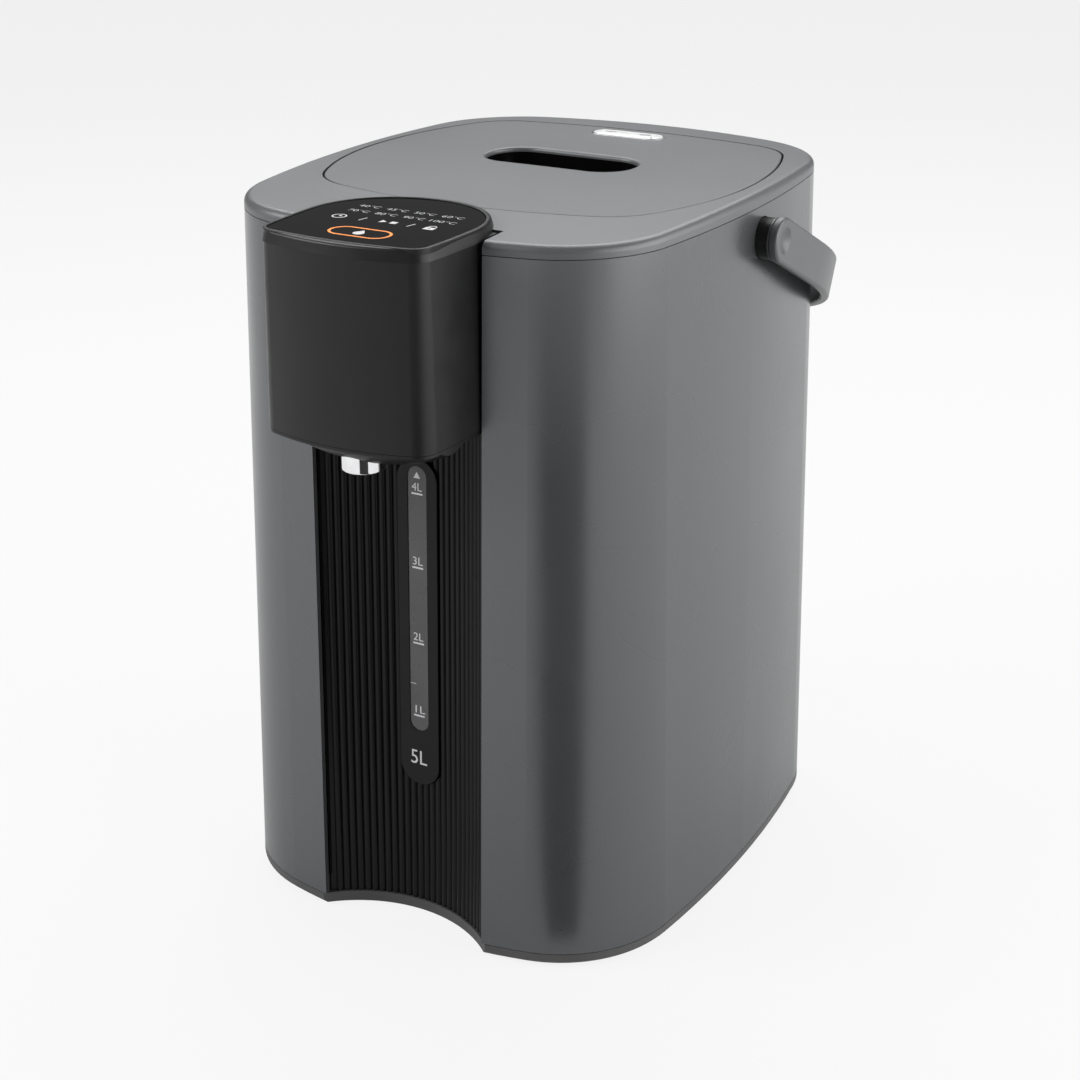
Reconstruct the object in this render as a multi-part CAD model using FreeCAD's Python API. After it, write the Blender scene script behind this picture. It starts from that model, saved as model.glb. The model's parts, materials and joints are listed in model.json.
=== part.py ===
import FreeCAD, Part
import math
import os

V = FreeCAD.Vector
X_AXIS = V(1, 0, 0)
Y_AXIS = V(0, 1, 0)
Z_AXIS = V(0, 0, 1)

# Millimetres. X to the right, Y to the back, Z up from the lower edge of the base lip.

# Body: plan sizes are taken at the crown; the walls spread out by the draft down to the base
body_height = 320.0
half_width = 102.3
half_depth = 123.1
corner_radius = 50.0
side_radius = 585.0
end_radius = 263.0
draft_spread = 7.7
crown_radius = 3670.0
top_edge_radius = 3.2
shell_wall = 2.5
seam = 0.3
base_lip = 5.0
shell_top = body_height - 7.7
tongue_low = shell_top - 12.9
neck_low = tongue_low - 6.2
clear_above = body_height + 20.0
clear_out = half_width + 50.0

# Front recess
recess_half = 41.1
groove_radius = 62.9
crest_radius = 62.0
lip_radius = 61.6
recess_centre_y = -171.7
recess_back_y = -100.0
rib_pitch_angle = 2.94
rib_count = 26
panel_wall = 2.6

# Level gauge on the panel
gauge_plane_y = -111.4
gauge_half = 10.0
gauge_low = 65.0
window_half = 4.7
gauge_gap = 0.45
window_low = gauge_low + 26.5

# Dispenser head
head_low = body_height - 78.5
panel_top = head_low - 1.8
gauge_high = head_low - 23.5
window_high = gauge_high - 3.6
head_join_y = -122.0
head_half = 40.2
head_reach = 43.0
head_corner = 9.5
head_side_radius = 300.0
head_front_radius = 100.0
head_draft = 1.4
head_wall = 2.6
head_back_y = -104.0
cap_low = body_height - 3.0
cap_high = body_height + 1.9
cap_overhang = 0.8
glass_thickness = 1.6
nozzle_y = -145.0
nozzle_radius = 8.8
nozzle_low = head_low - 15.1
bulge_depth = 11.0

# Lid
lid_centre_y = 12.0
lid_front = (94.2, 89.4, 36.4, 145.1, 186.7)
lid_rear = (94.2, 89.4, 25.0, 190.4, 450.5)
lid_gap_half = 0.45
lid_band_low = body_height - 3.1
lid_undercut = 1.5
lid_skirt_low = body_height - 13.0
lid_skirt_wall = 2.2
lid_roof = body_height - 4.0
slot_centre_y = 19.5
slot_half_x = 36.0
slot_half_y = 16.5
slot_corner = 15.0
liner_wall = 1.7
liner_top = body_height - 2.4
mouth_radius = 86.6
gasket_room = 6.6
plug_radius = mouth_radius - gasket_room
ledge_top = body_height - 15.8
lid_plate_low = ledge_top + 0.3
lid_plate_thick = 2.0
plug_floor = ledge_top - 10.7
lid_front_y = lid_centre_y - lid_front[1]
mouth_wall = 2.4

# Lid hinge: swan-neck arms that pass under the flush rear lip
pin_y = 113.5
pin_z = body_height - 8.4
pin_radius = 2.0
running_gap = 0.05
arm_inner = 14.95
arm_outer = 18.1
arm_x = 28.0
arm_width = 6.0
lip_under = body_height - 4.7
pocket_half = 41.5

# Release paddle and bolt
paddle_axis_y = 31.5
paddle_axis_z = body_height - 17.4
paddle_top = body_height - 12.2
paddle_thick = 2.4
bolt_half = 8.0
bolt_top = body_height - 9.6
bolt_nose_y = -78.3
spring_strip = 0.5

# Carrying handle
pivot_y = 10.0
pivot_z = body_height - 21.5
handle_outer_x = 113.0
handle_thick = 4.2
handle_width = 19.4
handle_straight = 48.0
handle_bend = 104.0
handle_droop = 25.0
hub_radius = 8.9
hub_face_x = 107.9
hub_flange_x = 99.4
stop_radius = 6.1
stop_pin_radius = 1.1
stop_half_turn = 14.0
handle_pin_radius = 3.5
handle_sweep = 118.0

# Water tank
tank_centre_y = 12.0
tank_inner = 96.0
tank_wall = 0.8
tank_low = 64.0
tank_high = body_height - 28.5
sight_low = tank_low - 6.0
sight_depth = 12.0
sight_bore = 3.4
tank_mouth = 82.0
outlet_x = -34.0
outlet_y = -30.0

# Feet
foot_proud = 1.5
foot_radius = 9.0
foot_x = 72.0
foot_y = 86.0

# Steam outlet in the lid
vent_y = 86.5
vent_half_x = 18.4
vent_half_y = 6.4
vent_top = body_height - 0.5
vent_floor = vent_top - 2.0

# Mains inlet at the back
inlet_half = 22.0
inlet_low = 24.0
inlet_high = 50.0
inlet_middle = (inlet_low + inlet_high) / 2
inlet_pin_places = (-7.0, 7.0)

# Pump and board in the base
motor_radius = 15.0
spout_z = 27.0
pump_top = spout_z + 23.0
board_low = 12.0
board_posts = ((-12.0, 29.0), (56.0, 29.0), (-12.0, 75.0), (56.0, 75.0))


def spread(z):
    return draft_spread * (1.0 - z / body_height)


def lean(z):
    return draft_spread * z / body_height


def grow(plan, k):
    return tuple(size + k for size in plan)


def arc(p, q, r):
    return Part.Arc(p, q, r).toShape()


def quarter_points(plan):
    """Side arc, corner arc and end arc of one quarter, each tangent to the next."""
    half_x, half_y, corner, side, end = plan
    side_centre = V(half_x - side, 0, 0)
    end_centre = V(0, half_y - end, 0)
    side_reach = side - corner
    end_reach = end - corner
    span = end_centre - side_centre
    along = (side_reach ** 2 - end_reach ** 2 + span.Length ** 2) / (2 * span.Length)
    rise = math.sqrt(side_reach ** 2 - along ** 2)
    unit = V(span).normalize()
    normal = V(-unit.y, unit.x, 0)
    choices = [side_centre + unit * along + normal * rise * way for way in (1, -1)]
    centre = max(choices, key=lambda p: p.x + p.y)
    side_touch = side_centre + (centre - side_centre) * (side / side_reach)
    end_touch = end_centre + (centre - end_centre) * (end / end_reach)
    turn = math.atan2(side_touch.y, side_touch.x - side_centre.x) / 2
    side_mid = side_centre + V(math.cos(turn), math.sin(turn), 0) * side
    bisector = ((side_touch - centre) + (end_touch - centre)).normalize()
    corner_mid = centre + bisector * corner
    return [V(half_x, 0, 0), side_mid, side_touch, corner_mid, end_touch, V(0, half_y, 0)]


def half_edges(plan, z, centre_y, way):
    """Edges from the right side round the end to the left side (rear) or back (front)."""
    right = quarter_points(plan)
    left = [V(-p.x, p.y, 0) for p in reversed(right[:-1])]
    points = [V(p.x, centre_y + way * p.y, z) for p in right + left]
    if way < 0:
        points.reverse()
    return [arc(points[i], points[i + 1], points[i + 2]) for i in range(0, 10, 2)]


def outline(z, front, rear, centre_y):
    return Part.Wire(half_edges(rear, z, centre_y, 1) + half_edges(front, z, centre_y, -1))


def loft(low, high):
    return Part.makeLoft([low, high], True, True)


def body_outline(z, k):
    plan = grow((half_width, half_depth, corner_radius, side_radius, end_radius), spread(z) + k)
    return outline(z, plan, plan, 0.0)


def body_block(z0, z1, k):
    return loft(body_outline(z0, k), body_outline(z1, k))


def lid_prism(z0, z1, k):
    wire = outline(z0, grow(lid_front, k), grow(lid_rear, k), lid_centre_y)
    return Part.Face(wire).extrude(V(0, 0, z1 - z0))


def slot_prism(z0, z1, k):
    half_x, half_y, r = slot_half_x + k, slot_half_y + k, slot_corner + k
    return rounded_prism(half_x, half_y, r, 0, slot_centre_y, z0, z1)


def rounded_prism(half_x, half_y, r, cx, cy, z0, z1):
    """Upright block with rounded corners in plan."""
    bar_x = box(cx - half_x, cx + half_x, cy - half_y + r, cy + half_y - r, z0, z1)
    bar_y = box(cx - half_x + r, cx + half_x - r, cy - half_y, cy + half_y, z0, z1)
    posts = [post(cx + sx * (half_x - r), cy + sy * (half_y - r), r, z0, z1)
             for sx in (-1, 1) for sy in (-1, 1)]
    return bar_x.multiFuse([bar_y] + posts).removeSplitter()


def box(x0, x1, y0, y1, z0, z1):
    return Part.makeBox(x1 - x0, y1 - y0, z1 - z0, V(x0, y0, z0))


def post(x, y, r, z0, z1):
    return Part.makeCylinder(r, z1 - z0, V(x, y, z0), Z_AXIS)


def ring(x, y, r_out, r_in, z0, z1):
    return post(x, y, r_out, z0, z1).cut(post(x, y, r_in, z0 - 1, z1 + 1))


def rod_x(y, z, r, x0, x1):
    return Part.makeCylinder(r, x1 - x0, V(x0, y, z), X_AXIS)


def crown_ball(lift):
    centre = V(0, 0, body_height - crown_radius)
    return Part.makeSphere(crown_radius + lift, centre, X_AXIS)


def recess_cut(y_back, z0, z1, extra=0.0):
    half = recess_half + extra
    return box(-half, half, -220, y_back, z0, z1)


def edges_between(shape, z_low, z_high, test=None):
    found = []
    for edge in shape.Edges:
        bounds = edge.BoundBox
        if bounds.ZMin > z_low and bounds.ZMax < z_high:
            if test is None or test(edge):
                found.append(edge)
    return found


def mirrored_pair(shape):
    return [shape, shape.mirror(V(0, 0, 0), X_AXIS)]


def make_top_block():
    """Crowned top of the closed body with its rounded outer edge."""
    raw = body_block(shell_top + seam, clear_above, 0).common(crown_ball(0))
    rim = edges_between(raw, shell_top + seam + 1.0, body_height - 0.2)
    return raw.makeFillet(top_edge_radius, rim)


def make_outer_shell():
    low = base_lip + seam
    skin = body_block(low, shell_top, 0).cut(body_block(low - 1, shell_top + 1, -shell_wall))
    skin = skin.cut(recess_cut(recess_back_y, low - 1, shell_top + 1))
    skin = skin.cut(rod_x(pivot_y, pivot_z, hub_radius + seam, -clear_out, clear_out))
    back = inlet_face()
    inlet_hole = rounded_block_y(inlet_half + 0.4, inlet_low - 0.4, inlet_high + 0.4,
                                 back - 20, back + 20)
    return skin.cut(inlet_hole)


def rounded_block_y(half_x, z0, z1, y0, y1, r=3.0):
    """Block along Y with rounded corners, seen from the back."""
    block = box(-half_x, half_x, y0, y1, z0, z1)
    upright = [e for e in block.Edges if abs(e.Vertexes[0].Y - e.Vertexes[-1].Y) > 1]
    return block.makeFillet(r, upright)


def make_top_collar(top_block):
    tongue = body_block(tongue_low, shell_top + seam + 0.1, -shell_wall - 0.4)
    neck = ring(0, lid_centre_y, mouth_radius + mouth_wall, mouth_radius, neck_low, tongue_low + 0.6)
    solid = top_block.fuse(tongue).fuse(neck)
    solid = solid.cut(lid_prism(ledge_top, clear_above, lid_gap_half))
    solid = solid.cut(post(0, lid_centre_y, mouth_radius, neck_low - 3, ledge_top + 6))
    solid = solid.cut(recess_cut(head_back_y + 0.8, neck_low - 3, clear_above))
    solid = solid.cut(rod_x(pivot_y, pivot_z, hub_radius + 3.4, -clear_out, clear_out))
    strike = box(-bolt_half - 1, bolt_half + 1, bolt_nose_y - 2.2, lid_front_y + 1.4,
                 bolt_top - 4.2, bolt_top + 0.6)
    pocket_low = box(-pocket_half, pocket_half, pin_y - 19.5, pin_y + 16.5,
                     neck_low - 8, shell_top + seam)
    pocket_high = box(-pocket_half, pocket_half, pin_y - 19.5, pin_y + 3.9, shell_top, lip_under)
    return solid.cut(strike).cut(pocket_low).cut(pocket_high)


def make_base_housing():
    """Tray under the body: grey lip outside, floor inside, tongue up into the shell."""
    foot = loft(body_outline(0, -1.5), body_outline(1.5, 0))
    lip = foot.fuse(body_block(1.5, base_lip, 0))
    under = body_block(-1, 3.2, -4.0).cut(post(0, recess_centre_y, lip_radius + 4, -2, 9))
    tongue = body_block(base_lip - 0.5, 14, -shell_wall - 0.4)
    tongue = tongue.cut(body_block(base_lip, 15, -shell_wall - 2.4))
    tongue = tongue.cut(recess_cut(recess_back_y, 0, 20, 1.0))
    tongue = tongue.cut(box(-inlet_half - 3, inlet_half + 3, inlet_face() - 24, clear_out, 8, 20))
    tray = lip.cut(under).fuse(tongue)
    tray = tray.cut(post(0, recess_centre_y, lip_radius, -2, 30))
    for x, y in board_posts:
        tray = tray.fuse(post(x, y, 3.5, base_lip - 0.5, board_low))
    tray = tray.fuse(ring(outlet_x, outlet_y, motor_radius + 2.0, motor_radius + 0.1, 4.6, 13))
    return tray.removeSplitter()


def make_bottom_cover():
    plate = body_block(0.5, 2.8, -4.6).cut(post(0, recess_centre_y, lip_radius + 4.6, -2, 9))
    for i in range(-6, 7):
        slot = rounded_prism(1.2, 16, 1.15, i * 7.0, 40, -1, 5)
        plate = plate.cut(slot)
    for sx, sy in foot_places():
        plate = plate.cut(post(sx, sy, foot_radius - 3.0, -1, 5))
    for sx, sy in screw_places():
        plate = plate.cut(post(sx, sy, 2.1, -1, 5))
    return plate


def foot_places():
    return [(sx * foot_x, sy * foot_y) for sx in (-1, 1) for sy in (-1, 1)]


def screw_places():
    return [(sx * 90.0, sy * 42.0) for sx in (-1, 1) for sy in (-1, 1)]


def make_feet():
    feet = []
    for x, y in foot_places():
        pad = post(x, y, foot_radius, -foot_proud, 0.5)
        rim = [e for e in pad.Edges if abs(e.CenterOfMass.z + foot_proud) < 0.01]
        pad = pad.makeChamfer(0.6, rim)
        feet.append(pad.fuse(post(x, y, foot_radius - 3.1, 0.4, 3.0)))
    return feet


def make_cover_screws():
    screws = []
    for x, y in screw_places():
        head = post(x, y, 3.6, -0.9, 0.5)
        head = head.cut(box(x - 2.6, x + 2.6, y - 0.4, y + 0.4, -1.5, -0.3))
        head = head.cut(box(x - 0.4, x + 0.4, y - 2.6, y + 2.6, -1.5, -0.3))
        screws.append(head.fuse(post(x, y, 1.9, 0.4, 3.1)))
    return screws


def recess_point(radius, degrees, z=0.0):
    turn = math.radians(degrees)
    return V(radius * math.sin(turn), recess_centre_y + radius * math.cos(turn), z)


def sheared(wire, z0, z1):
    """Upright wall that follows the slope of the body: same plan, moved back with height."""
    wire.translate(V(0, lean(z0), z0))
    return Part.Face(wire).extrude(V(0, lean(z1) - lean(z0), z1 - z0))


def make_front_panel():
    """Concave black panel; each rib is an arc from one groove to the next."""
    half_turn = rib_pitch_angle * rib_count / 2
    edge_turn = math.degrees(math.asin((recess_half - seam) / groove_radius))
    back_turn = math.degrees(math.asin((recess_half - seam) / (groove_radius + panel_wall)))
    edges = [arc(recess_point(groove_radius, -edge_turn),
                 recess_point(groove_radius, -(edge_turn + half_turn) / 2),
                 recess_point(groove_radius, -half_turn))]
    for i in range(rib_count):
        start = -half_turn + i * rib_pitch_angle
        edges.append(arc(recess_point(groove_radius, start),
                         recess_point(crest_radius, start + rib_pitch_angle / 2),
                         recess_point(groove_radius, start + rib_pitch_angle)))
    edges.append(arc(recess_point(groove_radius, half_turn),
                     recess_point(groove_radius, (edge_turn + half_turn) / 2),
                     recess_point(groove_radius, edge_turn)))
    back_radius = groove_radius + panel_wall
    right = recess_point(back_radius, back_turn)
    left = recess_point(back_radius, -back_turn)
    edges.append(Part.makeLine(recess_point(groove_radius, edge_turn), right))
    edges.append(arc(right, recess_point(back_radius, 0), left))
    edges.append(Part.makeLine(left, recess_point(groove_radius, -edge_turn)))
    panel = sheared(Part.Wire(edges), base_lip + seam, panel_top)
    k = -shell_wall - 0.4
    low = base_lip + 9.5
    strip = body_block(low, panel_top, k).cut(body_block(low - 1, panel_top + 1, k - 2.0))
    flange = strip.common(box(recess_half - 0.8, recess_half + 6, -150, -80, low, panel_top))
    panel = panel.multiFuse(mirrored_pair(flange))
    return panel.cut(gauge_block(gauge_half + gauge_gap, -8, 20, gauge_low, gauge_high))


def gauge_block(half, front, back, low, high):
    """Stadium plate parallel to the panel; front and back are depths behind the gauge face."""
    end_low = V(0, front, low + gauge_half)
    thick = back - front
    shapes = [Part.makeBox(2 * half, thick, high - low - 2 * gauge_half,
                           V(-half, front, low + gauge_half)),
              Part.makeCylinder(half, thick, end_low, Y_AXIS),
              Part.makeCylinder(half, thick, V(0, front, high - gauge_half), Y_AXIS)]
    plate = shapes[0].multiFuse(shapes[1:]).removeSplitter()
    return lean_back(plate)


def window_block(half, front, back, low, high):
    thick = back - front
    shapes = [Part.makeBox(2 * half, thick, high - low - 2 * half, V(-half, front, low + half)),
              Part.makeCylinder(half, thick, V(0, front, low + half), Y_AXIS),
              Part.makeCylinder(half, thick, V(0, front, high - half), Y_AXIS)]
    return lean_back(shapes[0].multiFuse(shapes[1:]).removeSplitter())


def lean_back(shape):
    angle = math.degrees(math.atan(draft_spread / body_height))
    shape.rotate(V(0, 0, 0), X_AXIS, -angle)
    shape.translate(V(0, gauge_plane_y, 0))
    return shape


def make_gauge_plate():
    plate = gauge_block(gauge_half, 0, 5.0, gauge_low, gauge_high)
    plate = plate.makeFillet(0.5, front_edges(plate))
    return plate.cut(window_block(window_half, -2, 9, window_low, window_high))


def front_edges(plate):
    """Edges of the face that looks to the front."""
    face = min(plate.Faces, key=lambda f: f.CenterOfMass.y)
    return face.Edges


def make_gauge_window():
    return window_block(window_half - 0.05, 0.35, 2.6, window_low + 0.05, window_high - 0.05)


def make_sight_tube():
    tube = ring(0, sight_depth, 4.5, sight_bore, sight_low, head_low - 11.0)
    return lean_back(tube)


def head_outline(z, k):
    inset = head_draft * (z - head_low) / (cap_low - head_low) - k
    plan = grow((head_half, head_reach, head_corner, head_side_radius, head_front_radius), -inset)
    edges = half_edges(plan, z, head_join_y, -1)
    half = head_half - inset
    back = head_back_y + k
    right_front, right_back = V(half, head_join_y, z), V(half, back, z)
    left_back, left_front = V(-half, back, z), V(-half, head_join_y, z)
    edges.append(Part.makeLine(right_front, right_back))
    edges.append(Part.makeLine(right_back, left_back))
    edges.append(Part.makeLine(left_back, left_front))
    return Part.Wire(Part.__sortEdges__(edges))


def head_block(z0, z1, k):
    return loft(head_outline(z0, k), head_outline(z1, k))


def cap_block():
    """D-shaped cap that laps over the collar behind the head."""
    low_half = head_half - head_draft + cap_overhang
    high_half = low_half - 1.1
    low_reach = head_reach - head_draft + 0.15
    low_front = (low_half, low_reach, head_corner - 1.0, head_side_radius, head_front_radius)
    low_rear = (low_half, low_half + 2.6, low_half - 4.4, low_half + 17.6, low_half + 7.6)
    high_front = (high_half, low_reach - 0.9, head_corner - 2.0, head_side_radius, head_front_radius)
    high_rear = (high_half, high_half + 2.8, high_half - 3.1, high_half + 15.4, high_half + 8.4)
    cap = loft(outline(cap_low, low_front, low_rear, head_join_y),
               outline(cap_high, high_front, high_rear, head_join_y))
    rim = edges_between(cap, cap_high - 0.1, cap_high + 0.1)
    return cap.makeFillet(1.2, rim)


def glass_prism(z0, z1, k):
    half = head_half - 3.2
    front = grow((half, head_reach - 5.6, head_corner - 3.5, 400.0, 180.0), k)
    rear = grow((half, half + 0.2, half - 3.0, half + 13.0, half + 5.0), k)
    return Part.Face(outline(z0, front, rear, head_join_y + 0.4)).extrude(V(0, 0, z1 - z0))


def make_dispenser_head():
    tower = head_block(head_low, cap_low + 0.5, 0)
    cap = cap_block()
    cavity = head_block(head_low - 1, cap_low - 1.2, -head_wall)
    solid = tower.cut(cavity).fuse(cap.cut(collar_clearance()))
    solid = solid.cut(glass_prism(cap_high - glass_thickness - 0.5, cap_high + 3, 1.7))
    solid = solid.cut(rounded_prism(26, 16, 4, 0, head_join_y - 4, cap_low - 3, cap_high + 1))
    cable_way = box(-8, 8, head_back_y - 6, head_back_y + 6, head_low + 35, head_low + 65)
    return solid.cut(cable_way).removeSplitter()


def collar_clearance():
    """Space of the collar's crowned top behind and beside the head."""
    under = crown_ball(0.15)
    opening = recess_cut(head_back_y + 0.4, tongue_low, clear_above, -0.4)
    reach = box(-60, 60, head_join_y - 4, head_join_y + 62, tongue_low, clear_above)
    return under.common(reach).cut(opening)


def make_trim_ring():
    low, high = cap_high - glass_thickness - 0.5, cap_high + 0.25
    body = glass_prism(low, high, 1.6)
    rim = edges_between(body, high - 0.05, high + 0.05)
    return body.makeFillet(0.4, rim).cut(glass_prism(low - 1, high + 1, 0.25))


def make_control_glass():
    low = cap_high - glass_thickness - 0.5
    glass = glass_prism(low, low + glass_thickness + 0.45, 0.1)
    rim = edges_between(glass, cap_high - 0.1, cap_high + 0.1)
    return glass.makeChamfer(0.25, rim)


def make_control_board():
    low, middle = cap_low - 6.0, head_join_y - 5.0
    board = rounded_prism(30, 17, 3, 0, middle, low, low + 1.6)
    chip = box(-8, 8, middle - 7, middle + 5, low + 1.5, low + 3.4)
    plug = box(14, 26, middle + 6, middle + 14, low - 6.0, low + 0.1)
    buzzer = post(-20, middle + 7, 5.5, low - 7.0, low + 0.1)
    return board.multiFuse([chip, plug, buzzer])


def make_head_bottom_cover():
    """Plate that closes the head, with a shallow bulge round the nozzle."""
    plate = head_block(head_low - 1.4, head_low - 0.2, -0.1)
    half_y = 18.2
    ball_radius = (half_y ** 2 + bulge_depth ** 2) / (2 * bulge_depth)
    ball = Part.makeSphere(ball_radius, V(0, 0, 0), X_AXIS)
    stretch = FreeCAD.Matrix()
    stretch.A11 = 2.35
    ball = ball.transformGeometry(stretch)
    ball.translate(V(0, nozzle_y + 3.6, head_low - 1.2 - bulge_depth + ball_radius))
    bulge = ball.common(head_block(head_low - 12, head_low - 1.2, -0.1))
    cover = plate.fuse(bulge)
    inner = ball.copy()
    inner.translate(V(0, 0, 1.8))
    cover = cover.cut(inner.common(head_block(head_low - 12, head_low + 2, -4.5)))
    return cover.cut(post(0, nozzle_y, nozzle_radius + 0.1, nozzle_low - 6, head_low + 3))


def make_nozzle():
    sleeve = ring(0, nozzle_y, nozzle_radius, nozzle_radius - 1.6, nozzle_low, head_low + 3.0)
    rim = [e for e in sleeve.Edges if abs(e.CenterOfMass.z - nozzle_low) < 0.01]
    sleeve = sleeve.makeFillet(0.6, rim)
    collar = ring(0, nozzle_y, nozzle_radius + 1.2, nozzle_radius - 0.5,
                  head_low + 0.2, head_low + 2.2)
    return sleeve.fuse(collar)


def make_nozzle_tube():
    tube = ring(0, nozzle_y, 5.6, sight_bore, nozzle_low + 1.5, head_low + 5.0)
    web = ring(0, nozzle_y, nozzle_radius - 1.7, 5.5, head_low - 1.0, head_low + 1.0)
    return tube.fuse(web)


def hose(path, outer, inner):
    """Round hose swept along a wire."""
    start = path.Edges[0]
    origin = start.valueAt(start.FirstParameter)
    heading = start.tangentAt(start.FirstParameter)
    solids = []
    for radius in (outer, inner):
        profile = Part.Wire(Part.makeCircle(radius, origin, heading))
        solids.append(path.makePipeShell([profile], True, False))
    return solids[0].cut(solids[1])


def make_head_hose():
    bottom = V(0, gauge_plane_y + sight_depth + lean(head_low - 11) + 0.3, head_low - 9.5)
    bend = (bottom.y - nozzle_y) / 2
    knee = V(0, bottom.y, head_low + 31)
    far = V(0, nozzle_y, knee.z)
    top = V(0, nozzle_y + bend, knee.z + bend)
    edges = [Part.makeLine(bottom, knee), arc(knee, top, far),
             Part.makeLine(far, V(0, nozzle_y, head_low + 5.3))]
    return hose(Part.Wire(edges), 5.0, sight_bore)


def make_outlet_hose():
    end_y = gauge_plane_y + sight_depth + lean(sight_low)
    curve = Part.BezierCurve()
    start, knee = V(outlet_x, outlet_y - 22, spout_z), V(outlet_x, outlet_y - 34, spout_z)
    curve.setPoles([knee, V(outlet_x, outlet_y - 62, spout_z), V(0, end_y, spout_z - 5),
                    V(0, end_y, sight_low - 0.5)])
    return hose(Part.Wire([Part.makeLine(start, knee), curve.toShape()]), 5.0, sight_bore)


def make_lid_cover(top_block):
    band = top_block.common(lid_prism(lid_band_low, clear_above, -lid_gap_half))
    rim = edges_between(band, lid_band_low + 0.3, body_height - 0.1)
    band = band.makeFillet(0.6, rim)
    skirt = lid_prism(lid_skirt_low, lid_band_low + 0.1, -lid_gap_half - lid_undercut)
    solid = band.fuse(skirt)
    inset = lid_gap_half + lid_undercut + lid_skirt_wall
    solid = solid.cut(lid_prism(lid_skirt_low - 1, lid_roof, -inset))
    solid = solid.cut(slot_prism(lid_skirt_low - 7, clear_above, 0))
    solid = solid.cut(slot_prism(lid_skirt_low - 7, liner_top + 0.1, liner_wall + 0.1))
    mouth = edges_between(solid, body_height - 0.6, body_height + 0.5)
    solid = solid.makeFillet(1.3, mouth)
    solid = solid.cut(vent_prism(vent_floor - 0.1, clear_above, 0.15))
    for x in (-9.0, 9.0):
        solid = solid.cut(rounded_prism(3.4, 1.2, 1.1, x, vent_y, lid_skirt_low, clear_above))
    for side in (-1, 1):
        mid = side * (arm_x + arm_width / 2)
        solid = solid.cut(box(mid - 4.2, mid + 4.2, pin_y - 19.5, pin_y - 10.5,
                              lid_skirt_low - 7, pin_z + 1.8))
    return solid.cut(box(-bolt_half - 1, bolt_half + 1, lid_front_y - 5, lid_front_y + 7,
                         bolt_top - 4.4, bolt_top + 1.2))


def vent_prism(z0, z1, k):
    return rounded_prism(vent_half_x + k, vent_half_y + k, vent_half_y + k - 0.1, 0, vent_y, z0, z1)


def make_vent_trim():
    """Polished bar over the steam outlet, with a bevelled edge and a raised face."""
    bar = vent_prism(vent_floor, vent_top, 0)
    rim = edges_between(bar, vent_top - 0.05, vent_top + 0.05)
    bar = bar.makeChamfer(0.9, rim)
    face = rounded_prism(vent_half_x - 3.2, vent_half_y - 2.6, 2.0, 0, vent_y,
                         vent_floor + 0.5, vent_top + 0.35)
    bar = bar.fuse(face)
    for x in (-9.0, 9.0):
        bar = bar.cut(rounded_prism(3.2, 0.9, 0.85, x, vent_y, vent_floor - 1, clear_above))
    return bar


def make_slot_liner():
    wall = slot_prism(ledge_top - 0.6, liner_top, liner_wall)
    flange = slot_prism(lid_roof - 1.2, lid_roof - 0.05, 4.5)
    return wall.fuse(flange).cut(slot_prism(ledge_top - 4, clear_above, 0.1))


def make_paddle():
    """Press plate that fills the slot's floor; its nose drives the bolt."""
    low = paddle_top - paddle_thick
    plate = slot_prism(low, paddle_top, -0.8)
    plate = plate.makeFillet(0.6, edges_between(plate, paddle_top - 0.05, paddle_top + 0.05))
    for side in (-1, 1):
        ear = box(18, 20.5, paddle_axis_y - 2.4, paddle_axis_y + 2.4, paddle_axis_z, low + 0.2)
        ear = ear.fuse(rod_x(paddle_axis_y, paddle_axis_z, 2.4, 18, 20.5))
        plate = plate.fuse(ear if side > 0 else ear.mirror(V(0, 0, 0), X_AXIS))
    plate = plate.cut(rod_x(paddle_axis_y, paddle_axis_z, 1.2 + running_gap, -30, 30))
    blade = [(9.7, low + 0.1), (4.8, low - 4.8), (2.2, low - 4.8), (7.1, low + 0.1)]
    return plate.fuse(side_profile(blade, 10.0))


def side_profile(points, width):
    """Solid with a straight-sided profile in the YZ plane, centred on X."""
    corners = [V(-width / 2, y, z) for y, z in points]
    return Part.Face(Part.makePolygon(corners + corners[:1])).extrude(V(width, 0, 0))


def make_paddle_pin():
    return rod_x(paddle_axis_y, paddle_axis_z, 1.2, -24.0, 24.0)


def make_bolt():
    """Cranked bar: its nose enters the collar, its slanted window holds the paddle's blade."""
    high, low = bolt_top, bolt_top - 12.8
    web = -6.0
    bar = [(bolt_nose_y, high - 2.8), (bolt_nose_y, high - 1.4), (bolt_nose_y + 1.4, high),
           (web, high), (web, low + 3.6), (13.0, low + 3.6), (13.0, low), (web - 3.0, low),
           (web - 3.0, high - 2.8)]
    window = [(-1.5, low - 1.0), (2.9, low + 4.6), (6.6, low + 4.6), (1.0, low - 1.0)]
    return side_profile(bar, 2 * bolt_half).cut(side_profile(window, 11.2))


def make_paddle_spring():
    """Formed strip under the paddle: a foot on the lid's floor and two raised arms."""
    floor, touch = plug_floor + 2.0, paddle_top - paddle_thick
    foot = box(-18, 18, 20.5, 24.5, floor, floor + spring_strip)
    base, knee, tip = V(10, 21, floor), V(10, 14, floor + 4.0), V(10, 9, touch - spring_strip)
    up = V(0, 0, spring_strip)
    edges = [arc(base, knee, tip), Part.makeLine(tip, tip + up),
             arc(tip + up, knee + up, base + up), Part.makeLine(base + up, base)]
    arm = Part.Face(Part.Wire(edges)).extrude(V(8, 0, 0))
    return foot.multiFuse(mirrored_pair(arm))


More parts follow.
